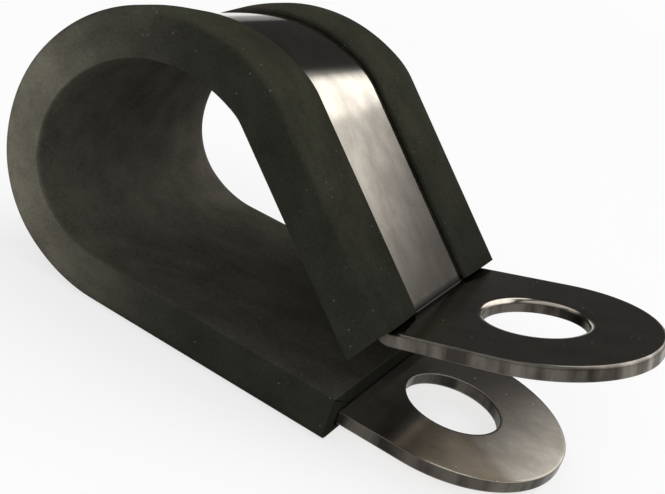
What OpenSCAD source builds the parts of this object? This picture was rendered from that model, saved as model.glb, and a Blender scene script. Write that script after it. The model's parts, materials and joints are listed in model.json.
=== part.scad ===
// Rubber-lined P clip: one folded steel band with an eyelet ear at each end, and one
// extruded rubber channel that wraps the band all round the loop. The clip is open, as
// it is before the bolt draws its two ears together.
//
// Origin: axis of the lower hole, on the underside of the lower ear. +X runs from the
// loop towards the tip of the lower ear, +Y across the band, +Z up off the mounting face.

/* [Band] */
// Width of the steel strip
band_w = 20; // [15:1:22]
// Thickness of the steel strip
band_t = 1.2; // [0.8:0.1:1.6]
// Radius inside the sharp bend between the upper leg and its ear
bend_r = 0.4; // [0.2:0.05:0.4]

/* [Ears] */
// Diameter of the bolt hole in each ear
hole_d = 8.4; // [5.2:0.1:10.5]
// Rolled-over edge that the punch leaves round the upper hole, on the band's outer face
rolled_edge = 0.4; // [0.2:0.05:0.6]
// Lower hole's axis, past the liner's lower end
lower_reach = 6; // [5.5:0.5:12]
// Upper hole's axis, past the corner of the sharp bend
upper_reach = 8.2; // [7.5:0.1:12]
// Slope at which the open upper ear rises
ear_rise = 16; // [5:1:20]

/* [Liner] */
// Overall width of the rubber channel
liner_w = 24; // [23:0.5:30]
// Rubber between the cable and the band
base_t = 2; // [1.2:0.1:2.5]
// Rubber lip folded over the band's outer face
lip_t = 0.8; // [0.6:0.1:1.4]
// Bare strip of band between the two lips
lip_gap = 11.4; // [8:0.2:14]

/* [Loop] */
// Level lower leg of the liner, from its cut end to the first bend
lower_leg = 24; // [18:0.5:28]
// Slope at which the upper leg comes down
leg_slope = 43; // [38:1:48]
// Straight upper leg of the liner, from the last bend to its cut end
upper_leg = 18.1; // [14:0.1:20]
// Bare band from the liner's upper end to the corner of the sharp bend
bare_leg = 0.3; // [0.3:0.1:2]

/* [Hidden] */
$fn = 96;

// Bends of the open loop from the lower leg round to the shoulder, each one the radius
// of the rubber's cable side and the turn in degrees. The shoulder takes up what is left.
LOOP = [[10.2, 32], [6.8, 53], [9.4, 39], [12.6, 82]];
SHOULDER_R = 3.8;
LOOP_STEP = 4;  // degrees from point to point round the loop
BEND_STEP = 8;  // and round the sharp bend
OVERRUN = 1;    // how far a cutter runs past the face that it opens

function turned(bends, i) = i == 0 ? 0 : bends[i - 1][1] + turned(bends, i - 1);
bends = concat(LOOP, [[SHOULDER_R, 180 + leg_slope - turned(LOOP, len(LOOP))]]);

// Offsets outwards from the cable side of the rubber.
band_out = base_t + band_t;
liner_out = band_out + lip_t;

// The sharp bend runs between the upper leg's slope and the ear's.
ear_turn = leg_slope + ear_rise;
bend_reach = bend_r * tan(ear_turn / 2);  // from its corner to where its arc starts
corner_leg = upper_leg + bare_leg;
tip_overrun = band_w / 2 + OVERRUN;       // strip left past each hole for the blanking cut

// --- Path of the loop, in the plane of the mounting bolt ---

function unit(angle) = [cos(angle), sin(angle)];
function reversed(points) = [for (i = [len(points) - 1:-1:0]) points[i]];

// Angles from one facing to another in equal steps of about the given size.
function sweep_angles(from, to, step) =
    let (n = ceil(abs(to - from) / step)) [for (k = [0:n]) from + (to - from) * k / n];

// Way that the rubber's outer side faces where bend i starts: straight down on the lower leg.
function facing(i) = -90 - turned(bends, i);
function bend_start(i) = i == 0 ? [-lower_reach - lower_leg, band_out]
                                : centre(i - 1) + bends[i - 1][0] * unit(facing(i));
function centre(i) = bend_start(i) - bends[i][0] * unit(facing(i));

leg_top = bend_start(len(bends));
leg_out = unit(90 - leg_slope);
leg_down = unit(-leg_slope);
corner = leg_top + corner_leg * leg_down + band_out * leg_out;  // on the band's outer face
ear_along = unit(ear_rise);
ear_hole = corner + upper_reach * ear_along;

// Points round the loop at an offset outwards from the cable side.
function loop_points(offset) =
    [for (i = [0:len(bends) - 1])
        for (a = sweep_angles(facing(i), facing(i + 1), LOOP_STEP))
            centre(i) + (bends[i][0] + offset) * unit(a)];

// Lower leg from the given x, the loop, and the upper leg to the given length.
function liner_line(offset, from_x, leg) =
    concat([[from_x, band_out - offset]], loop_points(offset),
           [leg_top + leg * leg_down + offset * leg_out]);

// One face of the whole folded strip, from the lower ear's tip to the upper one's.
function band_line(offset) =
    let (pivot = corner + bend_r * leg_out - bend_reach * leg_down,
         r = band_out + bend_r - offset)
    concat([[tip_overrun, band_out - offset]], loop_points(offset),
           [for (a = sweep_angles(90 - leg_slope, 90 + ear_rise, BEND_STEP)) pivot - r * unit(a)],
           [ear_hole + tip_overrun * ear_along + (offset - band_out) * unit(90 + ear_rise)]);

// Wall of the given width between two lines of the path, centred across the band.
module wall(inner, outer, width)
    rotate([90, 0, 0]) linear_extrude(height = width, center = true)
        polygon(concat(inner, reversed(outer)));

// --- Steel band ---

// What the press cuts out at an ear: the hole, and everything past the full round end.
// Drawn round the hole's axis on the band's outer face, with +X to the tip.
module ear_scrap()
    translate([0, 0, -band_t - OVERRUN]) linear_extrude(height = band_t + 2 * OVERRUN) {
        circle(d = hole_d);
        difference() {
            translate([0, -tip_overrun]) square(2 * tip_overrun);
            circle(d = band_w);
        }
    }

// The rolled edge as a 45 degree break that opens out of the same face.
module rolled_rim()
    translate([0, 0, -rolled_edge])
        cylinder(d1 = hole_d, d2 = hole_d + 4 * rolled_edge, h = 2 * rolled_edge);

module steel_band()
    color([0.62, 0.61, 0.58]) difference() {
        wall(band_line(base_t), band_line(band_out), band_w);
        rotate([180, 0, 0]) ear_scrap();
        translate([ear_hole.x, 0, ear_hole.y]) rotate([0, -ear_rise, 0]) {
            ear_scrap();
            rolled_rim();
        }
    }

// --- Rubber liner ---

// Room that the channel leaves open between two offsets, through both of its cut ends.
module channel_room(inner, outer, width)
    wall(liner_line(inner, OVERRUN - lower_reach, upper_leg + OVERRUN),
         liner_line(outer, OVERRUN - lower_reach, upper_leg + OVERRUN), width);

module rubber_liner()
    color([0.09, 0.09, 0.085]) difference() {
        wall(liner_line(0, -lower_reach, upper_leg),
             liner_line(liner_out, -lower_reach, upper_leg), liner_w);
        channel_room(base_t, band_out, band_w);
        channel_room(band_out - lip_t / 2, liner_out + OVERRUN, lip_gap);
    }

steel_band();
rubber_liner();
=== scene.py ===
# %% [markdown]
# # A rubber-lined P clip
# A P clip holds a cable or pipe against a panel. It is two pieces: one steel strip, punched and
# folded into a loop with a round-ended ear at each end, and one rubber channel that grips the
# strip's edges all round the loop. The clip here is open, as it comes out of the box.
#
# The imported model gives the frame: the real size, the holes and where everything sits. This
# lesson builds finer meshes of the same two pieces in that frame, gives them a bright plated
# finish and a black rubber finish, and lights them as small shiny hardware is lit.

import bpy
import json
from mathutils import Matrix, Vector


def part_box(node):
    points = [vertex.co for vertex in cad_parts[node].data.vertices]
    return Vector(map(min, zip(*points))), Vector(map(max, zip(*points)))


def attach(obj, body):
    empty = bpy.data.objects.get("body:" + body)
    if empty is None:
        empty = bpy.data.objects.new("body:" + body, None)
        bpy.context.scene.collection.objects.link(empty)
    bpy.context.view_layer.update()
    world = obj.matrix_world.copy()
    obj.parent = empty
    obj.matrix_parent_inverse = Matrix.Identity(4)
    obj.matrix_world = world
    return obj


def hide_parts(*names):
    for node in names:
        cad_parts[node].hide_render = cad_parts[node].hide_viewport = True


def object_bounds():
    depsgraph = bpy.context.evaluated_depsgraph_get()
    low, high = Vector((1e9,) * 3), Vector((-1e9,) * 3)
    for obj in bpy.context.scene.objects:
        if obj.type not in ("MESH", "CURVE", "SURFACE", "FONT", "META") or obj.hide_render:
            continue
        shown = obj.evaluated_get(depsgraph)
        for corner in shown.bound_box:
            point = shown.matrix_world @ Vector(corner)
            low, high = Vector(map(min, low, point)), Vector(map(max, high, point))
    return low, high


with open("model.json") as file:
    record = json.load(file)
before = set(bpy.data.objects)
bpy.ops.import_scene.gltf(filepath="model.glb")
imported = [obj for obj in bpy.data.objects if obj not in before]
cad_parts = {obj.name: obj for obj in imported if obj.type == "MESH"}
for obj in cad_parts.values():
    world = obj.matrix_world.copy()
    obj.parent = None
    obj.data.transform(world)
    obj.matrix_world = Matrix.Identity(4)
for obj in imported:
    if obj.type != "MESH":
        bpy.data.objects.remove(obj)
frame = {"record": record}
cad_box = [list(corner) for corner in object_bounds()]

import json
import math

import bmesh
import bpy
import numpy as np
from mathutils import Matrix, Vector

MM = 0.001
print("the clip measures", [round((b - a) / MM, 2) for a, b in zip(*cad_box)], "mm")

# %% [markdown]
# ## Sizes
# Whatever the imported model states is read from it: the widths of the strip and the rubber from
# their boxes, the strip's thickness, the hole's radius and the ear's slope from the two holes.
# The rest is the short list of dimensions that the clip is drawn from, in millimetres and
# degrees. The base, the gap between the lips and the lips' thin tips are the rubber's. The
# reaches run from a hole to the fold beside it, and the legs are the two straight stretches.
# Heights called `out` are measured outwards from the strip's outer face.

# %% Sizes
mounts = {m["name"]: m for m in frame["record"]["mounts"]}
band_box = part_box("steel_band")
liner_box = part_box("rubber_liner")

BAND_W = (band_box[1].y - band_box[0].y) / MM
LINER_W = (liner_box[1].y - liner_box[0].y) / MM
BAND_T = mounts["lower_hole"]["dims"]["length_mm"]
HOLE_R = mounts["lower_hole"]["dims"]["r_mm"]
ROLLED_EDGE = BAND_T - mounts["upper_hole"]["dims"]["length_mm"]
LIP_T = -liner_box[0].z / MM
EAR_RISE = math.degrees(math.asin(-mounts["upper_hole"]["axis"][0]))

BASE_T = 2.0
LIP_GAP = 10.9
LIP_TIP = 0.4
LOWER_REACH = 6.0
LOWER_LEG = 24.0
LOOP_BENDS = [(10.2, 32), (6.8, 53), (9.4, 39), (12.6, 82), (3.8, 17)]
LEG_SLOPE = 43.0
UPPER_LEG = 18.35
BARE_LEG = 0.05
SHARP_BEND_R = 0.15
UPPER_REACH = 8.2

print(f"strip {BAND_W:.1f} x {BAND_T:.1f}, rubber {LINER_W:.1f} wide, lips {LIP_T:.1f} thick")

# %% [markdown]
# ## The path of the fold
# Seen from the side, the strip's outer face is a chain of straight stretches and even bends.
# Each stretch is a length and a turn, with a turn to the left positive. A polyline would do, but
# with a formula every bend stays round and every normal exact, which a shiny strip shows at once.

# %% The path of the fold
def bend(radius, turn):
    """A stretch that turns by `turn` degrees: its length is the radius times the angle."""
    return (radius * math.radians(abs(turn)), turn)


def unit(angle):
    """The direction at an angle from +X towards +Z: its cosine and its sine."""
    return np.stack([np.cos(angle), np.sin(angle)], axis=-1)


def chord(length, turn, heading):
    """From the start of an even bend to its end: its length, shrunk by the sine of half the turn
    over half the turn, laid half-way between the first heading and the last."""
    return (length * np.sinc(turn / (2 * np.pi)))[..., None] * unit(heading + turn / 2)


ear_turn = LEG_SLOPE + EAR_RISE
corner_reach = SHARP_BEND_R * math.tan(math.radians(ear_turn / 2))
stretches = [(BAND_W / 2 + LOWER_REACH + LOWER_LEG, 0)]
stretches += [bend(radius + BASE_T + BAND_T, -turn) for radius, turn in LOOP_BENDS]
stretches += [(UPPER_LEG + BARE_LEG - corner_reach, 0), bend(SHARP_BEND_R, ear_turn)]
stretches += [(UPPER_REACH - corner_reach + BAND_W / 2, 0)]

STRETCH = np.array([length for length, turn in stretches])
TURN = np.radians([turn for length, turn in stretches])
START_S = np.concatenate([[0], np.cumsum(STRETCH)])
START_HEADING = np.pi + np.concatenate([[0], np.cumsum(TURN)])
ear_tip = np.array([[BAND_W / 2, 0]])
hops = np.cumsum(chord(STRETCH, TURN, START_HEADING[:-1]), axis=0)
START_POINT = np.concatenate([ear_tip, ear_tip + hops])


def fold(blank):
    """Bends flat points into the clip, in metres. A flat point is (distance along from the lower
    ear's tip, place across, out). Its stretch gives a point and a heading at that distance, and
    `out` is laid along the heading's left-hand normal."""
    i = np.clip(np.searchsorted(START_S, blank[:, 0], side="right") - 1, 0, len(STRETCH) - 1)
    run = blank[:, 0] - START_S[i]
    turned = TURN[i] * run / STRETCH[i]
    point = START_POINT[i] + chord(run, turned, START_HEADING[i])
    place = point + blank[:, 2:3] * unit(START_HEADING[i] + turned + np.pi / 2)
    return np.stack([place[:, 0], blank[:, 1], place[:, 1]], axis=1) * MM


S_LOWER_HOLE = BAND_W / 2
S_LINER = S_LOWER_HOLE + LOWER_REACH
S_LINER_END = START_S[-3] - BARE_LEG + corner_reach
S_EAR = START_S[-2]
S_CREASE = (START_S[-3] + START_S[-2]) / 2
S_END = START_S[-1]
S_UPPER_HOLE = S_END - BAND_W / 2
upper_hole = fold(np.array([[S_UPPER_HOLE, 0, -(BAND_T + ROLLED_EDGE) / 2]]))[0]
miss = np.linalg.norm(upper_hole - np.array(mounts["upper_hole"]["pos_m"])) / MM
print(f"the strip is {S_END:.2f} mm long when flat, and its upper hole lands {miss:.4f} mm off")

# %% [markdown]
# ## Grids and pieces
# Every surface here is a grid of points worked out as whole arrays. `grid_faces` names the four
# corners of each cell. `make_piece` folds the grids of one piece, welds them along their shared
# edges and turns the faces outwards. It also keeps each point's place on the flat blank as an
# attribute: the finishes read it, so grain and streaks run round the bends as real ones do.

# %% Grids and pieces
WELD = 0.5e-6


def grid_faces(rows, columns, wrap_rows=False, wrap_columns=False):
    """Corner numbers of every cell of a grid of points that is stored row by row."""
    r, c = np.meshgrid(np.arange(rows if wrap_rows else rows - 1),
                       np.arange(columns if wrap_columns else columns - 1), indexing="ij")
    r2 = (r + 1) % rows
    c2 = (c + 1) % columns
    corners = [r * columns + c, r * columns + c2, r2 * columns + c2, r2 * columns + c]
    return np.stack(corners, axis=-1).reshape(-1, 4)


def make_piece(name, grids, caps=()):
    """One closed mesh from grids of (flat points, faces, how far each point is a cut edge)."""
    starts = np.cumsum([0] + [len(points) for points, faces, cut in grids])
    blank = np.concatenate([points for points, faces, cut in grids])
    cut = np.concatenate([cut for points, faces, cut in grids])
    faces = np.concatenate([faces + start for (p, faces, c), start in zip(grids, starts)])

    mesh = bpy.data.meshes.new(name)
    mesh.from_pydata(fold(blank), [], faces.tolist() + [list(cap) for cap in caps])
    mesh.attributes.new("blank_place", "FLOAT_VECTOR", "POINT")
    mesh.attributes["blank_place"].data.foreach_set("vector", blank.astype(np.float32).ravel())
    mesh.attributes.new("cut_edge", "FLOAT", "POINT")
    mesh.attributes["cut_edge"].data.foreach_set("value", cut.astype(np.float32))

    work = bmesh.new()
    work.from_mesh(mesh)
    bmesh.ops.remove_doubles(work, verts=work.verts, dist=WELD)
    bmesh.ops.recalc_face_normals(work, faces=work.faces)
    open_edges = sum(not edge.is_manifold for edge in work.edges)
    work.to_mesh(mesh)
    work.free()
    mesh.shade_smooth()
    piece = bpy.data.objects.new(name, mesh)
    bpy.context.scene.collection.objects.link(piece)
    print(f"{name}: {len(mesh.vertices)} points, {len(mesh.polygons)} faces, {open_edges} open edges")
    return piece


def stations(start, end, step, bend_step):
    """Distances along the path, every `step` mm on straights and every `bend_step` degrees in
    bends, always with one at each joint between two stretches."""
    lo = np.clip(START_S[:-1], start, end)
    hi = np.clip(START_S[1:], start, end)
    turns = np.abs(np.degrees(TURN)) * (hi - lo) / STRETCH
    counts = np.ceil(np.where(TURN == 0, (hi - lo) / step, turns / bend_step)).astype(int)
    runs = [np.linspace(a, b, n + 1)[1:] for a, b, n in zip(lo, hi, counts) if n]
    return np.concatenate([[start]] + runs)


print("stations round the clip:", len(stations(0, S_END, 1.0, 1.25)))

# %% [markdown]
# ## The edge of the strip
# A press makes the flat strip in one stroke: it shears the outline, with a full round end on
# each ear, and punches the holes. A sheared edge has its own section. It is rolled over where
# the punch pushed in, then comes a straight wall, and last a small burr that is tumbled off.
# The upper hole is coined as well, so its roll is wide enough to catch the light as a ring.

# %% The edge of the strip
EDGE_ROLL = 0.3
EDGE_DROP = 0.26
BURR_R = 0.08
RING_ROLL = 0.55
EDGE_STEPS = 6
WALL_STEPS = 7


def edge_section(roll, drop, cut_power):
    """Section of a sheared edge, as (outwards, out) points from the outer face to the inner one:
    a quarter ellipse `roll` wide and `drop` deep, a straight wall, and a quarter circle. With it
    comes how far each point is a cut edge. That grows over the roll, early where the power is
    low and late where it is high, and is one on the wall."""
    quarter = np.linspace(0, np.pi / 2, EDGE_STEPS + 1)
    rolled = np.stack([roll * np.sin(quarter), drop * (np.cos(quarter) - 1)], axis=1)
    wall_out = np.linspace(-drop, BURR_R - BAND_T, WALL_STEPS + 1)[1:-1]
    wall = np.stack([np.full_like(wall_out, roll), wall_out], axis=1)
    tumbled = np.stack([roll - BURR_R + BURR_R * np.cos(quarter),
                        BURR_R - BAND_T - BURR_R * np.sin(quarter)], axis=1)
    section = np.concatenate([rolled, wall, tumbled])
    cut = np.ones(len(section))
    cut[:EDGE_STEPS + 1] = np.linspace(0, 1, EDGE_STEPS + 1) ** cut_power
    cut[-EDGE_STEPS - 1:] = np.linspace(1, 0, EDGE_STEPS + 1)
    return section, cut


outline_edge, outline_cut = edge_section(EDGE_ROLL, EDGE_DROP, cut_power=0.35)
punched_edge, punched_cut = edge_section(EDGE_ROLL, EDGE_DROP, cut_power=0.6)
coined_edge, coined_cut = edge_section(RING_ROLL, ROLLED_EDGE, cut_power=8.0)
print("points across a sheared edge:", len(outline_edge))

# %% [markdown]
# ## The ears
# Each ear is a hole in a round-ended tab. Cutting the hole with a boolean would leave long thin
# faces, and smooth shading smears on those. So an ear is a ring of rays instead: each ray starts
# at the outline on the outer face, runs in to the hole, down the hole's wall and back out along
# the inner face. A second grid closes the sheared outline. The rays that end on the strip
# itself use the strip's own points, so the two grids weld into one skin.

# %% The ears
ACROSS = np.concatenate([[-1, -0.985], np.linspace(-0.95, 0.95, 25), [0.985, 1]])
RAY_MARKS = np.array([0, 0.03, 0.12, 0.3, 0.5, 0.7, 0.88, 0.97])
TIP_RAYS = 121
SIDE_RAYS = 9


def outline(join_reach, inset):
    """The ring of points round an ear, in (towards the tip, across) from the hole's centre, moved
    in by `inset`: one straight side, the half circle, the other side, then the joint with the
    strip. The direction outwards comes with it, and is nought on the joint."""
    half = BAND_W / 2 - inset
    side = np.linspace(-join_reach, 0, SIDE_RAYS)[:-1]
    tip = unit(np.linspace(-np.pi / 2, np.pi / 2, TIP_RAYS))
    joint = np.stack([np.full(len(ACROSS), -join_reach), -ACROSS * half], axis=1)[1:-1]
    near = np.stack([side, np.full_like(side, -half)], axis=1)
    points = np.concatenate([near, half * tip, near[::-1] * [1, -1], joint])
    outwards = np.concatenate([0 * near + [0, -1], tip, 0 * near + [0, 1], 0 * joint])
    return points, outwards


def ear_grids(s_hole, s_joint, hole_edge, hole_cut):
    """Both grids of an ear. Each hole point is at the hole's radius plus the roll, less the
    section's own reach, on the ray that its outline point lies on."""
    towards = np.sign(s_hole - s_joint)
    top, outwards = outline(abs(s_hole - s_joint), EDGE_ROLL)
    bottom, _ = outline(abs(s_hole - s_joint), BURR_R)
    ray = top / np.linalg.norm(top, axis=1, keepdims=True)
    radius = HOLE_R + hole_edge[:, 0].max() - hole_edge[:, 0]
    hole = ray[:, None, :] * radius[:, None]
    marks = RAY_MARKS[:, None]
    above = top[:, None, :] + marks * (hole[:, :1] - top[:, None, :])
    below = (bottom[:, None, :] + marks * (hole[:, -1:] - bottom[:, None, :]))[:, ::-1]
    plan = np.concatenate([above, hole, below], axis=1)
    heights = np.concatenate([0 * RAY_MARKS, hole_edge[:, 1], 0 * RAY_MARKS - BAND_T])
    cut = np.concatenate([0 * RAY_MARKS, hole_cut, 0 * RAY_MARKS])
    sheared = outwards.any(axis=1)
    rim = top[sheared][:, None, :] + outwards[sheared][:, None, :] * outline_edge[:, :1]

    def grid(plan, heights, cut, wrap):
        rows, columns = plan.shape[:2]
        out = np.broadcast_to(heights, (rows, columns))
        flat = np.stack([s_hole + towards * plan[..., 0], plan[..., 1], out], axis=-1)
        faces = grid_faces(rows, columns, wrap_rows=wrap)
        return flat.reshape(-1, 3), faces, np.tile(cut, rows)

    return [grid(plan, heights, cut, True),
            grid(rim, outline_edge[:, 1], outline_cut, False)]


LOWER_JOINT = S_LINER + 2.0
lower_ear = ear_grids(S_LOWER_HOLE, LOWER_JOINT, punched_edge, punched_cut)
upper_ear = ear_grids(S_UPPER_HOLE, S_EAR, coined_edge, coined_cut)
for name, ear in (("lower", lower_ear), ("upper", upper_ear)):
    print("points in the", name, "ear:", sum(len(points) for points, faces, cut in ear))

# %% [markdown]
# ## The strip between the ears
# Between the ears the strip is the same section all the way, so it is one closed section carried
# along the path. The stations are close together in the bends. The reflection of a light slides
# quickly over a bend, and widely spaced stations would break it into steps.

# %% The strip between the ears
def closed_section():
    """The strip's section as a closed ring of (across, out): outer face, one sheared edge, inner
    face, the other edge. The face points are the ears' own, so that they weld."""
    face = ACROSS * (BAND_W / 2 - EDGE_ROLL)
    back = ACROSS[::-1] * (BAND_W / 2 - BURR_R)
    edge = outline_edge[1:-1] + [BAND_W / 2 - EDGE_ROLL, 0]
    ring = [np.stack([face, 0 * face], axis=1), edge,
            np.stack([back, 0 * back - BAND_T], axis=1), edge[::-1] * [-1, 1]]
    cut = [0 * face, outline_cut[1:-1], 0 * back, outline_cut[-2:0:-1]]
    return np.concatenate(ring), np.concatenate(cut)


def sweep(marks, section):
    """Flat points of a section carried along the strip: every station with every section point."""
    rows = np.repeat(marks, len(section))[:, None]
    return np.concatenate([rows, np.tile(section, (len(marks), 1))], axis=1)


ring, ring_cut = closed_section()
marks = stations(LOWER_JOINT, S_EAR, 1.0, 1.0)
strip = (sweep(marks, ring), grid_faces(len(marks), len(ring), wrap_columns=True),
         np.tile(ring_cut, len(marks)))
band = make_piece("folded_strip", [strip] + lower_ear + upper_ear)

# %% [markdown]
# ## The rubber channel
# The rubber is extruded as a channel with two lips, cut to length and pushed over the strip. Its
# section has soft corners, because rubber can't hold a sharp one. Modelling it as a thickened
# sheet would make the lips as thick as the base, so the whole section is drawn: base, side
# walls and lips, with each corner rounded by its own radius. The widest round is the shoulder,
# and the lips are crowned: they slope down from their middle to a thin tip. A hair's breadth is
# left between rubber and steel, so that neither surface shows through the other.

# %% The rubber channel
FIT = 0.01
CORNER_R = 0.1
SHOULDER_R = 0.9
TIP_R = 0.2
FOOT_R = 0.05
SEAT_R = 0.12
LIP_SLOPE = 3.4
CROWN_R = 12.0
SIDE_MARKS = np.array([0.03, 0.2, 0.4, 0.6, 0.8, 0.97])
CORNER_STEPS = 5


def rounded(corners):
    """A closed outline through (across, out, radius) corners, and its outward normals. Each
    corner is an arc that touches both its sides: its centre is one radius off the first side,
    a radius times the tangent of half the turn before the corner."""
    at, radius = corners[:, :2], corners[:, 2]
    ahead = np.roll(at, -1, axis=0) - at
    heading = np.arctan2(ahead[:, 1], ahead[:, 0])
    before = np.roll(heading, 1)
    turn = (heading - before + np.pi) % (2 * np.pi) - np.pi
    bow = (np.sign(turn) * radius)[:, None]
    centre = at - (radius * np.tan(abs(turn) / 2))[:, None] * unit(before)
    centre = centre - bow * unit(before - np.pi / 2)
    swing = before[:, None] - np.pi / 2 + turn[:, None] * np.linspace(0, 1, CORNER_STEPS + 1)
    arc = centre[:, None, :] + bow[:, None, :] * unit(swing)
    reach = np.roll(arc[:, 0], -1, axis=0) - arc[:, -1]
    side = arc[:, -1][:, None, :] + SIDE_MARKS[:, None] * reach[:, None, :]
    side_normal = np.broadcast_to(unit(heading - np.pi / 2)[:, None, :], side.shape)
    points = np.concatenate([arc, side], axis=1).reshape(-1, 2)
    normals = np.concatenate([unit(swing), side_normal], axis=1).reshape(-1, 2)
    return points, normals


def channel_corners():
    """The channel's corners on one side, then mirrored: base, outer wall, lip and its tip, and
    the seat round the strip's edge."""
    half, gap = LINER_W / 2, LIP_GAP / 2
    seat = BAND_W / 2 + FIT
    right = np.array([[half, -BASE_T - BAND_T, CORNER_R], [half, LIP_T, SHOULDER_R],
                      [gap + LIP_SLOPE, LIP_T, CROWN_R], [gap, LIP_TIP, TIP_R],
                      [gap, FIT, FOOT_R], [seat, FIT, SEAT_R], [seat, -BAND_T - FIT, SEAT_R]])
    return np.concatenate([right, right[::-1] * [-1, 1, 1]])


channel, channel_normals = rounded(channel_corners())
print("points round the channel's section:", len(channel))

# %% [markdown]
# The channel's ends are cut square with a blade, which leaves a narrow round at the edge. Each
# end is a few extra stations in which the section shrinks along its own normals, by one minus
# the cosine while it moves on by the sine, and one flat face closes it.

# %% The channel carried along the strip
END_R = 0.06
END_FLAT = 0.1
END_STEPS = 3


def end_rings(at, towards):
    """Stations, and how far the section shrinks at each, for one rounded end. The last one is a
    ring a little further in on the flat face, which keeps the shading of the round off it."""
    quarter = np.linspace(0, np.pi / 2, END_STEPS + 1)
    marks = at - towards * END_R * (1 - np.sin(quarter))
    shrink = END_R * (1 - np.cos(quarter))
    return np.append(marks, at), np.append(shrink, END_R + END_FLAT)


first, first_shrink = end_rings(S_LINER, -1)
last, last_shrink = end_rings(S_LINER_END, 1)
body = stations(first[0], last[0], 1.0, 1.25)[1:-1]
marks = np.concatenate([first[::-1], body, last])
shrink = np.concatenate([first_shrink[::-1], 0 * body, last_shrink])
section = channel[None, :, :] - shrink[:, None, None] * channel_normals[None, :, :]
rows = np.repeat(marks, len(channel)).reshape(len(marks), -1, 1)
flat = np.concatenate([rows, section], axis=2).reshape(-1, 3)
count = len(channel)
end_faces = [range(count), range(len(flat) - count, len(flat))]
cut = (shrink > 0).repeat(count).astype(float)
faces = grid_faces(len(marks), count, wrap_columns=True)
liner = make_piece("rubber_channel", [(flat, faces, cut)], end_faces)

# %% [markdown]
# ## Node helpers
# A finish is a tree of shader nodes. `put` adds one node and fills its sockets, either with a
# value or with the output of another node. Two effects serve both finishes, so they are node
# groups: `Streaks` is noise pulled long in one direction, for rolling grain, shear marks and
# the drag lines of extrusion, and `Specks` is a scatter of small dots, for dust and pits.

# %% Node helpers
def fill(tree, made, inputs):
    """Fills a node's sockets, by name or by number."""
    for key, value in inputs.items():
        if isinstance(value, bpy.types.NodeSocket):
            tree.links.new(value, made.inputs[key])
        else:
            made.inputs[key].default_value = value


def put(tree, kind, inputs, **options):
    """Adds a node to a tree. Options are its own settings, inputs are values or output sockets."""
    made = tree.nodes.new("ShaderNode" + kind)
    for option, value in options.items():
        setattr(made, option, value)
    fill(tree, made, inputs)
    return made


def new_group(name, inputs, output):
    """An empty node group with those input sockets and one value output."""
    group = bpy.data.node_groups.new(name, "ShaderNodeTree")
    for label, kind, value in inputs:
        socket = group.interface.new_socket(label, in_out="INPUT", socket_type="NodeSocket" + kind)
        socket.default_value = value
    group.interface.new_socket(output, in_out="OUTPUT", socket_type="NodeSocketFloat")
    return group, group.nodes.new("NodeGroupInput"), group.nodes.new("NodeGroupOutput")


streaks, given, result = new_group("Streaks", [
    ("Place", "Vector", (0, 0, 0)), ("Per mm", "Vector", (1, 1, 1)),
    ("Detail", "Float", 3)], "Value")
pulled = put(streaks, "VectorMath", {0: given.outputs["Place"], 1: given.outputs["Per mm"]},
             operation="MULTIPLY")
noise = put(streaks, "TexNoise", {"Vector": pulled.outputs[0], "Scale": 1.0,
                                  "Detail": given.outputs["Detail"], "Roughness": 0.6})
streaks.links.new(noise.outputs["Fac"], result.inputs["Value"])

specks, given, result = new_group("Specks", [
    ("Place", "Vector", (0, 0, 0)), ("Per mm", "Float", 2), ("Share", "Float", 0.3),
    ("Size", "Float", 0.2)], "Mask")
dots = put(specks, "TexVoronoi", {"Vector": given.outputs["Place"],
                                  "Scale": given.outputs["Per mm"]})
edge = put(specks, "MapRange", {"Value": dots.outputs["Distance"], "From Max": 0.0,
                                "From Min": given.outputs["Size"]},
           interpolation_type="SMOOTHSTEP")
chance = put(specks, "SeparateColor", {"Color": dots.outputs["Color"]})
kept = put(specks, "Math", {0: chance.outputs[0], 1: given.outputs["Share"]}, operation="LESS_THAN")
mask = put(specks, "Math", {0: edge.outputs["Result"], 1: kept.outputs[0]}, operation="MULTIPLY")
specks.links.new(mask.outputs[0], result.inputs["Mask"])
print("node groups:", [group.name for group in bpy.data.node_groups])

# %% [markdown]
# ## Words for finishes
# A finish reads like a recipe once its steps have plain names. `ranged` carries one span of
# values to another, `blended` mixes two colours by a mask, and `product`, `total` and `scaled`
# are plain arithmetic. Noise seldom leaves the span 0.3 to 0.7 and a mask runs from nought to
# one, so those two spans have names of their own.

# %% Words for finishes
NOISE = (0.3, 0.7)
MASK = (0.0, 1.0)


def new_material(name):
    """A material with an empty tree, its output and a Principled shader."""
    material = bpy.data.materials.new(name)
    material.use_nodes = True
    tree = material.node_tree
    tree.nodes.clear()
    shader = tree.nodes.new("ShaderNodeBsdfPrincipled")
    output = tree.nodes.new("ShaderNodeOutputMaterial")
    tree.links.new(shader.outputs[0], output.inputs["Surface"])
    return material, tree, shader


def use(tree, group, **inputs):
    """Places a node group and returns its first output."""
    named = {key.replace("_", " "): value for key, value in inputs.items()}
    made = tree.nodes.new("ShaderNodeGroup")
    made.node_tree = group
    fill(tree, made, named)
    return made.outputs[0]


def ranged(tree, value, lowest, highest, low=0.0, high=1.0):
    """Carries a value from the span lowest..highest to the span low..high, held at both ends."""
    return put(tree, "MapRange", {"Value": value, "From Min": lowest, "From Max": highest,
                                  "To Min": low, "To Max": high}).outputs["Result"]


def blended(tree, share, first, second):
    """First where share is nought, second where it is one. Each is a colour or a socket."""
    mix = tree.nodes.new("ShaderNodeMix")
    mix.data_type = "RGBA"
    tree.links.new(share, mix.inputs[0])
    for socket, value in ((mix.inputs[6], first), (mix.inputs[7], second)):
        if isinstance(value, bpy.types.NodeSocket):
            tree.links.new(value, socket)
        else:
            socket.default_value = (*value, 1)
    return mix.outputs[2]


def combined(tree, operation, first, second):
    """Two values through a Math node."""
    return put(tree, "Math", {0: first, 1: second}, operation=operation).outputs[0]


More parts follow.
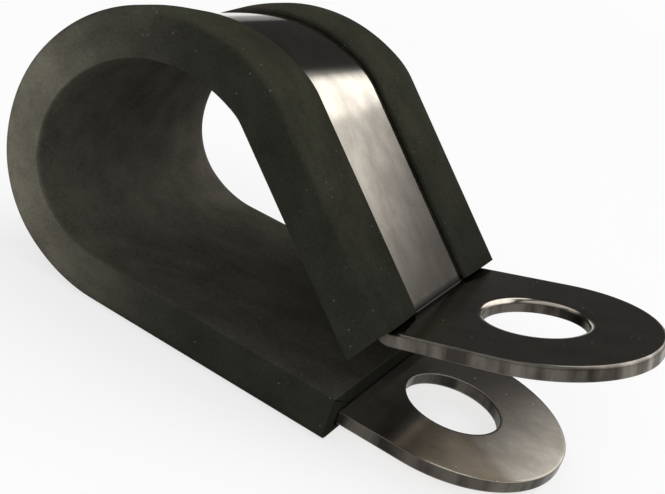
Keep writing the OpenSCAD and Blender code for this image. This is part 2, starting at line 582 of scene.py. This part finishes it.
def product(tree, first, *others):
    """All the values multiplied together."""
    for value in others:
        first = combined(tree, "MULTIPLY", first, value)
    return first


def total(tree, first, *others):
    """All the values added up."""
    for value in others:
        first = combined(tree, "ADD", first, value)
    return first


def scaled(tree, colour, factor):
    """A colour made darker or lighter by a factor."""
    return put(tree, "VectorMath", {0: colour, 3: factor}, operation="SCALE").outputs[0]


print("a mask runs from", MASK[0], "to", MASK[1])

# %% [markdown]
# ## Finish 1: bright plated steel
# The strip is rolled steel with a bright zinc plate. Rolling leaves a faint grain along the
# strip, plating follows it, and forming leaves the faces very slightly wavy. A mirror would be
# wrong: the plate spreads a light's reflection a little, more in some places than in others.
#
# How the strip is marked depends on where it is, and `blank_place` tells: the distance along
# the strip, the place across it, and the height out of it. The inner face is painted a little
# darker, as painted shade. Handling scuffs both ears. The underside of the upper ear is painted
# darker still, most beside the sharp bend, and that bend's crease is painted almost black and
# made rougher; both are painted shade. A thin matt film gathers on the lower ear where
# the rubber ends.

# %% Where the strip is scuffed and where it is painted darker
# The painted shade under the upper ear fades out this far from the ear's tip, in mm.
UNSHADED_TIP = 11.0
CREASE_INNER = 0.25
CREASE_OUTER = 0.7

steel, tree, shader = new_material("plated_steel_finish")
place = put(tree, "Attribute", {}, attribute_name="blank_place").outputs["Vector"]
cut = put(tree, "Attribute", {}, attribute_name="cut_edge").outputs["Fac"]
axes = put(tree, "SeparateXYZ", {"Vector": place}).outputs
along, out = axes["X"], axes["Z"]
# The inner face. Further down, its colour is painted darker by a quarter, as painted shade.
inside = ranged(tree, out, -0.3 * BAND_T, -0.9 * BAND_T)
upper_end = ranged(tree, along, S_EAR - 0.5, S_EAR + 1.5)
lower_end = ranged(tree, along, S_LINER + 3.0, S_LINER)
scuffed = combined(tree, "MAXIMUM", upper_end, lower_end)
under_ear = product(tree, inside, upper_end)
# Painted shade: the underside of the upper ear is darkened, most beside the sharp bend.
under_ear_shade = product(tree, under_ear,
                ranged(tree, along, S_END - UNSHADED_TIP, S_EAR + 1.0, 0.0, 0.85))
# Painted shade: the crease of the sharp bend is painted almost black further down, and it is made
# rougher too.
from_crease = combined(tree, "ABSOLUTE", combined(tree, "SUBTRACT", along, S_CREASE), 0.0)
crease_shade_and_dull = ranged(tree, from_crease, CREASE_OUTER, CREASE_INNER)
film = product(tree, inside, ranged(tree, along, S_LOWER_HOLE, S_LINER - 1.0),
               ranged(tree, along, S_LINER_END, S_LINER_END - 1.0))
print("nodes that say where the strip is rubbed:", len(tree.nodes))

# %% [markdown]
# The plate's colour drifts between two warm greys in soft clouds, with the grain over them. Each
# mask from the cell before makes it darker or rougher by its own amount.

# %% The plated faces
PLATE_DARK = (0.5, 0.452, 0.386)
PLATE_LIGHT = (0.69, 0.63, 0.542)

grain = use(tree, streaks, Place=place, Per_mm=(5.0, 6.0, 6.0), Detail=3.0)
cloud = use(tree, streaks, Place=place, Per_mm=(0.3, 0.42, 0.4), Detail=3.0)
scuffs = use(tree, specks, Place=place, Per_mm=1.3, Share=0.3, Size=0.13)
# Painted shade: the inner face, the underside of the upper ear and the bend's crease are darkened
# here. The grain is the plate's own.
shade = product(tree, ranged(tree, grain, *NOISE, 0.88, 1.0),
                ranged(tree, inside, *MASK, 1.0, 0.75),
                combined(tree, "SUBTRACT", 1.0, under_ear_shade),
                ranged(tree, crease_shade_and_dull, *MASK, 1.0, 0.04))
plate = blended(tree, ranged(tree, cloud, 0.35, 0.65), PLATE_DARK, PLATE_LIGHT)
plate = scaled(tree, plate, shade)
face_rough = total(tree, ranged(tree, cloud, *NOISE, 0.075, 0.045),
                   ranged(tree, grain, *NOISE, 0.0, 0.03),
                   ranged(tree, scuffs, *MASK, 0.0, 0.3),
                   ranged(tree, scuffed, *MASK, 0.0, 0.07),
                   ranged(tree, crease_shade_and_dull, 0.5, 1.0, 0.0, 0.12),
                   ranged(tree, under_ear, *MASK, 0.0, 0.2))
print("nodes with the plated faces:", len(tree.nodes))

# %% [markdown]
# The sheared edges were never rolled. They are darker and rougher, with light and dark marks
# that run through the thickness, so the noise is stretched in that direction. Their colour is
# painted darker on the lower ear, as painted shade, and painted brighter at the very tips of
# the ears, as a painted highlight.

# %% The sheared edges
SHEARED_DARK = (0.062, 0.0555, 0.0475)
SHEARED_LIGHT = (0.207, 0.187, 0.16)

blocks = use(tree, streaks, Place=place, Per_mm=(0.4, 0.4, 0.1), Detail=1.0)
ticks = use(tree, streaks, Place=place, Per_mm=(1.5, 1.5, 0.3), Detail=3.0)
torn = total(tree, product(tree, blocks, 0.7), product(tree, ticks, 0.3))
# Painted shade and highlight: the walls are darker on the lower ear and brighter at the tips of both
# ears.
lower_to_upper = ranged(tree, along, S_LINER, S_LINER_END, 0.45, 0.75)
upper_tip = ranged(tree, along, S_END - 2.5, S_END - 0.8, 1.0, 2.4)
lower_tip = ranged(tree, along, 8.0, 3.0, 1.0, 1.4)
painted_lit_and_shaded = product(tree, lower_to_upper, combined(tree, "MAXIMUM", upper_tip, lower_tip))
wall = blended(tree, ranged(tree, torn, 0.4, 0.6), SHEARED_DARK, SHEARED_LIGHT)
wall = scaled(tree, wall, painted_lit_and_shaded)
wall_rough = ranged(tree, torn, 0.35, 0.65, 0.45, 0.3)
print("nodes with the sheared edges:", len(tree.nodes))

# %% [markdown]
# `cut_edge` chooses between face and wall, a little way into the rolled-over edge. Two bumps are
# left: the faint wave of the faces and the torn marks of the walls.

# %% The steel put together
wave = use(tree, streaks, Place=place, Per_mm=(0.1, 0.1, 0.1), Detail=0.0)
wave_bump = put(tree, "Bump", {"Height": wave, "Strength": 0.1, "Distance": 0.3 * MM})
torn_bump = put(tree, "Bump", {"Height": product(tree, torn, cut), "Strength": 0.3,
                               "Distance": 0.12 * MM, "Normal": wave_bump.outputs[0]})
rough = put(tree, "Mix", {0: cut, 2: face_rough, 3: wall_rough})
tree.links.new(blended(tree, cut, plate, wall), shader.inputs["Base Color"])
tree.links.new(rough.outputs[0], shader.inputs["Roughness"])
tree.links.new(ranged(tree, film, *MASK, 1.0, 0.9), shader.inputs["Metallic"])
tree.links.new(torn_bump.outputs[0], shader.inputs["Normal"])
band.data.materials.append(steel)
print("steel nodes:", len(tree.nodes))

# %% [markdown]
# ## Finish 2: black rubber
# The rubber is black all through and dull. Round the back of the loop its colour is painted
# lighter, as painted light, faint on the outer face and strongest on the side walls. The face
# towards the cable is painted a lighter black than the rest, and a lighter patch is painted in
# the low part of the loop: both painted light. The lips' tops are painted a little lighter than
# the walls, fading out near the upper end, as painted light.

# %% Where the rubber is greyer
SIDE_LIGHT_WAY = (1.0, 0.0, 0.2)
SIDE_LIGHT_FROM = -17.0 * MM
SIDE_LIGHT_FULL = -42.0 * MM
BORE_OUT = -BAND_T - BASE_T

rubber, tree, shader = new_material("black_rubber_finish")
place = put(tree, "Attribute", {}, attribute_name="blank_place").outputs["Vector"]
spot = put(tree, "TexCoord", {}).outputs["Object"]
axes = put(tree, "SeparateXYZ", {"Vector": place}).outputs
along, across, out = axes["X"], axes["Y"], axes["Z"]
width = combined(tree, "ABSOLUTE", across, 0.0)
patch = use(tree, streaks, Place=place, Per_mm=(0.22, 0.3, 0.3), Detail=3.0)
# Painted light: the rubber's colour is lighter round the back of the loop, most on the side walls.
forwards = put(tree, "VectorMath", {0: spot, 1: SIDE_LIGHT_WAY}, operation="DOT_PRODUCT")
back = ranged(tree, forwards.outputs["Value"], SIDE_LIGHT_FROM, SIDE_LIGHT_FULL)
painted_side_light = product(tree, combined(tree, "POWER", back, 2.0),
                ranged(tree, width, LINER_W / 2 - 0.5, LINER_W / 2 - 0.05, 0.25, 1.0),
                ranged(tree, patch, *NOISE, 0.8, 1.0))
# The face towards the cable. Its colour is a lighter black than the walls, as painted light.
bore = product(tree, ranged(tree, out, BORE_OUT + 0.2, BORE_OUT + 0.05),
               ranged(tree, width, LINER_W / 2, LINER_W / 2 - 0.12))
# Painted light: a lighter patch in the low part of the loop, stronger towards the far side.
bore_light_patch = combined(tree, "MINIMUM", ranged(tree, along, START_S[1] - 4.0, START_S[2]),
                   ranged(tree, along, START_S[3] + 3.0, START_S[2] + 1.0))
bore_light_patch = product(tree, bore_light_patch, ranged(tree, across, -10.0, 12.0, 0.25, 0.6))
# Painted light: the lips' tops are lighter than the walls, fading out near the rubber's upper end.
lips = product(tree, ranged(tree, out, 0.2, 0.6),
               ranged(tree, along, S_LINER_END - 2.0, S_LINER_END - 14.0))
print("nodes that say where the rubber is greyer:", len(tree.nodes))

# %% [markdown]
# Extrusion leaves drag lines along the rubber and a fine grain on it, and dust sticks to it as
# tiny light specks. It has no gloss at all: even a low specular level would put a sheen on the
# far lip, and that sheen would show as a streak in the ear below it.

# %% The rubber put together
# The wall black and the dust are the rubber's own colours; the bore's, the patch's, the lips' and the
# side grey are painted light.
WALL_BLACK = (0.0228, 0.0228, 0.018)
LIP_LIT_BLACK = (0.034, 0.0345, 0.0245)
BORE_LIT_BLACK = (0.053, 0.0508, 0.0395)
BORE_PATCH_GREY = (0.12, 0.112, 0.09)
SIDE_LIGHT_GREY = (0.185, 0.174, 0.137)
DUST = (0.3, 0.28, 0.24)

drag = use(tree, streaks, Place=place, Per_mm=(0.25, 5.0, 5.0), Detail=3.0)
fine = use(tree, streaks, Place=place, Per_mm=(3.5, 4.5, 4.5), Detail=4.0)
dust = use(tree, specks, Place=place, Per_mm=1.6, Share=0.3, Size=0.14)
black = blended(tree, bore, blended(tree, lips, WALL_BLACK, LIP_LIT_BLACK),
                blended(tree, bore_light_patch, BORE_LIT_BLACK, BORE_PATCH_GREY))
grain = total(tree, ranged(tree, fine, *NOISE, 0.75, 1.1), ranged(tree, patch, *NOISE, -0.15, 0.2))
grey = scaled(tree, blended(tree, painted_side_light, black, SIDE_LIGHT_GREY), grain)
dusty = blended(tree, ranged(tree, dust, *MASK, 0.0, 0.5), grey, DUST)
rough = total(tree, ranged(tree, patch, *NOISE, 0.42, 0.5), ranged(tree, painted_side_light, *MASK, 0.0, 0.25))
drag_bump = put(tree, "Bump", {"Height": drag, "Strength": 0.25, "Distance": 0.03 * MM})
fine_bump = put(tree, "Bump", {"Height": fine, "Strength": 0.3, "Distance": 0.02 * MM,
                               "Normal": drag_bump.outputs[0]})
tree.links.new(dusty, shader.inputs["Base Color"])
tree.links.new(rough, shader.inputs["Roughness"])
tree.links.new(fine_bump.outputs[0], shader.inputs["Normal"])
shader.inputs["Specular IOR Level"].default_value = 0.0
liner.data.materials.append(rubber)
print("rubber nodes:", len(tree.nodes))

# %% [markdown]
# ## Join the frame
# Both new pieces ride on the frame's one body and stand for the imported solids, which are then
# hidden.

# %% Join the frame
for piece, node, finish in ((band, "steel_band", "plated_steel"),
                            (liner, "rubber_liner", "black_rubber")):
    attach(piece, "root")
    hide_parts(node)
print("pieces:", [piece.name for piece in (band, liner)])

# %% [markdown]
# ## The camera
# A long lens a little above the clip, on the side of the ears, and tipped about its own axis so
# that the lower leg runs down to the right.

# %% The camera
CAMERA_AT = Vector((14.2027, -71.4738, 41.6012)) * MM
CAMERA_AZIMUTH = 22.224
CAMERA_ELEVATION = 22.971
CAMERA_ROLL = 18.44
LENS = 52.1716

camera = bpy.data.objects.new("camera", bpy.data.cameras.new("camera"))
bpy.context.scene.collection.objects.link(camera)
turn = Matrix.Rotation(math.radians(CAMERA_AZIMUTH), 4, "Z")
tilt = Matrix.Rotation(math.radians(90 - CAMERA_ELEVATION), 4, "X")
roll = Matrix.Rotation(math.radians(CAMERA_ROLL), 4, "Z")
camera.matrix_world = Matrix.Translation(CAMERA_AT) @ turn @ tilt @ roll
camera.data.lens = LENS
camera.data.sensor_fit = "HORIZONTAL"
camera.data.sensor_width = 36.0
camera.data.clip_start = 1 * MM
bpy.context.scene.camera = camera
print("camera", round(CAMERA_AT.length / MM), "mm from the lower hole")

# %% [markdown]
# ## The floor
# The clip rests on the rubber's lips, so the floor is at the bottom of its box. It is a big pale
# sheet. Part of its white is light of its own, shown to the camera and to reflections, and the
# rest is lit, which keeps the clip's soft shadow. Further out its own white takes over, so that
# it is white to the horizon, as a paper sweep would be.

# %% The floor
FLOOR_SIZE = 2.4
OWN_WHITE = 0.7
SWEEP_FROM = 0.15
SWEEP_FULL = 0.7

half = FLOOR_SIZE / 2
floor_z = cad_box[0][2]
mesh = bpy.data.meshes.new("floor")
mesh.from_pydata([(-half, -half, floor_z), (half, -half, floor_z), (half, half, floor_z),
                  (-half, half, floor_z)], [], [(0, 1, 2, 3)])
floor = bpy.data.objects.new("floor", mesh)
bpy.context.scene.collection.objects.link(floor)
paper, tree, shader = new_material("pale_floor")
speckle = put(tree, "TexNoise", {"Scale": 40.0, "Detail": 2.0}).outputs["Fac"]
pale = blended(tree, speckle, (0.88, 0.88, 0.88), (0.9, 0.9, 0.9))
tree.links.new(pale, shader.inputs["Base Color"])
shader.inputs["Roughness"].default_value = 1.0
shader.inputs["Specular IOR Level"].default_value = 0.0
rays = put(tree, "LightPath", {})
seen = combined(tree, "MAXIMUM", rays.outputs["Is Camera Ray"], rays.outputs["Is Glossy Ray"])
seen = combined(tree, "MAXIMUM", seen, rays.outputs["Is Transmission Ray"])
white = put(tree, "Emission", {"Color": (1, 1, 1, 1), "Strength": 1.0})
spot = put(tree, "TexCoord", {}).outputs["Object"]
distance = put(tree, "VectorMath", {0: spot}, operation="LENGTH").outputs["Value"]
share = product(tree, seen, ranged(tree, distance, SWEEP_FROM, SWEEP_FULL, OWN_WHITE, 1.0))
mixed = put(tree, "MixShader", {0: share, 1: shader.outputs[0], 2: white.outputs[0]})
tree.links.new(mixed.outputs[0], tree.nodes["Material Output"].inputs["Surface"])
mesh.materials.append(paper)
print("floor at", round(floor_z / MM, 2), "mm")

# %% [markdown]
# ## The lights
# Bright metal is lit by what it reflects. One big soft panel hangs over the clip from high up
# down to the back right. Its lower left edge is feathered and its right edge is crisp, and a dim
# card continues below it, so the strip's reflection falls from white to grey down the leg. A
# second, weaker panel on the other side gives the back of the clip something to reflect.
#
# Both panels are patches of a dome whose brightness is worked out point by point from the
# direction. Rectangles of light would do the same job, but not with one soft edge and one hard
# one. Only reflections see the dome. Between the panels it has the dark grey of the room. Each
# pair of numbers below is the span of degrees over which an edge goes from nought to full.

# %% The lights
DOME_R = 0.6
ROOM = 0.036
PANEL = 1.85
SECOND_PANEL = 0.6
CARD_LOW = 0.08
CARD_RISE = 0.85
CARD_POWER = 1.3
PANEL_FEATHER = (12.0, 22.0)
PANEL_CRISP = (12.5, 12.9)
PANEL_BLEND = (27.0, 33.0)
PANEL_TOP = (68.0, 78.0)
PANEL_RIGHT = (95.0, 115.0)
CARD_SPAN = (17.0, 26.0)
SECOND_LEFT = (120.0, 150.0)
SECOND_RIGHT = (270.0, 295.0)
SECOND_BOTTOM = (10.0, 25.0)
SECOND_TOP = (65.0, 85.0)
DOME_AZIMUTHS = (-60, 300)
DOME_ELEVATIONS = (10, 90)
DOME_STEPS = (481, 161)


def smooth(value, start, end):
    """Nought before start, one after end, and a smooth S between them."""
    t = np.clip((value - start) / (end - start), 0, 1)
    return t * t * (3 - 2 * t)


def panel_light(azimuth, elevation):
    """Brightness of the dome in a direction, in degrees. The panel is feathered along a slanting
    line on its lower left, and cut off along a crisp one on its lower right. Past the crisp line
    is a dim card that fades downwards. Both blend into the panel higher up, and end near the top
    and far round to the right. The second panel is a soft-edged span of azimuths and elevations.
    The room's grey is added everywhere."""
    feather = smooth(0.75 * azimuth + 0.66 * elevation, *PANEL_FEATHER)
    crisp = smooth(elevation - azimuth, *PANEL_CRISP)
    slope = smooth(elevation + 0.25 * (azimuth - 17), *CARD_SPAN)
    card = CARD_LOW + CARD_RISE * slope ** CARD_POWER
    card = np.maximum(card, PANEL * smooth(elevation, *PANEL_BLEND))
    light = PANEL * crisp + card * (1 - crisp)
    light = light * feather * (1 - smooth(elevation, *PANEL_TOP))
    light = light * (1 - smooth(azimuth, *PANEL_RIGHT))
    second = smooth(azimuth, *SECOND_LEFT) * (1 - smooth(azimuth, *SECOND_RIGHT))
    second = second * smooth(elevation, *SECOND_BOTTOM) * (1 - smooth(elevation, *SECOND_TOP))
    return ROOM + light + SECOND_PANEL * second


azimuths = np.linspace(*DOME_AZIMUTHS, DOME_STEPS[0])
elevations = np.linspace(*DOME_ELEVATIONS, DOME_STEPS[1])
azimuth, elevation = np.meshgrid(azimuths, elevations, indexing="ij")
az, el = np.radians(azimuth), np.radians(elevation)
way = np.stack([np.sin(az) * np.cos(el), np.cos(az) * np.cos(el), np.sin(el)], axis=-1)
light = panel_light(azimuth, elevation)
mesh = bpy.data.meshes.new("soft_panel")
mesh.from_pydata(DOME_R * way.reshape(-1, 3), [], grid_faces(*DOME_STEPS).tolist())
mesh.attributes.new("brightness", "FLOAT", "POINT")
mesh.attributes["brightness"].data.foreach_set("value", light.astype(np.float32).ravel())
dome = bpy.data.objects.new("soft_panel", mesh)
bpy.context.scene.collection.objects.link(dome)
glow = bpy.data.materials.new("panel_glow")
glow.use_nodes = True
tree = glow.node_tree
tree.nodes.clear()
brightness = put(tree, "Attribute", {}, attribute_name="brightness").outputs["Fac"]
lamp = put(tree, "Emission", {"Strength": brightness})
put(tree, "OutputMaterial", {"Surface": lamp.outputs[0]})
mesh.materials.append(glow)
dome.visible_camera = False
dome.visible_diffuse = False
dome.visible_shadow = False
print("brightest part of the dome:", round(float(light.max()), 2))

# %% [markdown]
# The rest is plain fill that only matt surfaces see: a broad one from above and behind, and one
# from the front, which models the side of the loop. The world is three things in one. To the
# camera it is plain white. To matt surfaces it is an even grey. To the steel it is a dark room
# with a bright horizon on its open sides, because that is what gives the steel its contrast.

# %% Fill and world
def add_fill(name, at, size, watts):
    """A square lamp that faces the clip and shows in no reflection."""
    lamp = bpy.data.lights.new(name, "AREA")
    lamp.shape = "SQUARE"
    lamp.size = size
    lamp.energy = watts
    made = bpy.data.objects.new(name, lamp)
    facing = Vector(at).to_track_quat("Z", "Y").to_matrix().to_4x4()
    made.matrix_world = Matrix.Translation(at) @ facing
    made.visible_glossy = False
    bpy.context.scene.collection.objects.link(made)
    return made


add_fill("top_fill", at=(0.25, 0.3, 0.9), size=0.9, watts=5.0)
add_fill("front_fill", at=(0.1, -0.6, 0.4), size=0.5, watts=1.9)

HORIZON = [(0.0, 0.9), (0.03, 0.45), (0.09, 0.28), (0.2, 0.07), (0.3, ROOM)]
OPEN_LEFT = (-0.1, -0.5)
OPEN_RIGHT = (0.11, 0.25)
OPEN_FRONT = (0.1, -0.3)
DARK = (ROOM, ROOM, ROOM)
SHADE_FILL = (0.5, 0.5, 0.5)
WHITE = (1.0, 1.0, 1.0)

world = bpy.data.worlds.new("dark_room")
bpy.context.scene.world = world
world.use_nodes = True
tree = world.node_tree
direction = put(tree, "TexCoord", {}).outputs["Generated"]
heading = put(tree, "SeparateXYZ", {"Vector": direction}).outputs
ramp = put(tree, "ValToRGB", {"Fac": heading["Z"]})
for number, (level, grey) in enumerate(HORIZON):
    stop = ramp.color_ramp.elements[number] if number < 2 else ramp.color_ramp.elements.new(level)
    stop.position = level
    stop.color = (grey, grey, grey, 1)
open_side = combined(tree, "MAXIMUM", ranged(tree, heading["X"], *OPEN_LEFT),
                     ranged(tree, heading["X"], *OPEN_RIGHT))
open_side = combined(tree, "MAXIMUM", open_side, ranged(tree, heading["Y"], *OPEN_FRONT))
sky = blended(tree, open_side, DARK, ramp.outputs["Color"])
rays = put(tree, "LightPath", {})
sky = blended(tree, rays.outputs["Is Diffuse Ray"], sky, SHADE_FILL)
sky = blended(tree, rays.outputs["Is Camera Ray"], sky, WHITE)
tree.links.new(sky, tree.nodes["Background"].inputs["Color"])
bpy.context.scene.view_settings.view_transform = "Standard"

# %% [markdown]
# ## The imported box
# The imported clip's box is printed, in millimetres.

# %% The imported box
bpy.context.view_layer.update()
print("packed box", np.round(np.array(cad_box) / MM, 3).tolist())
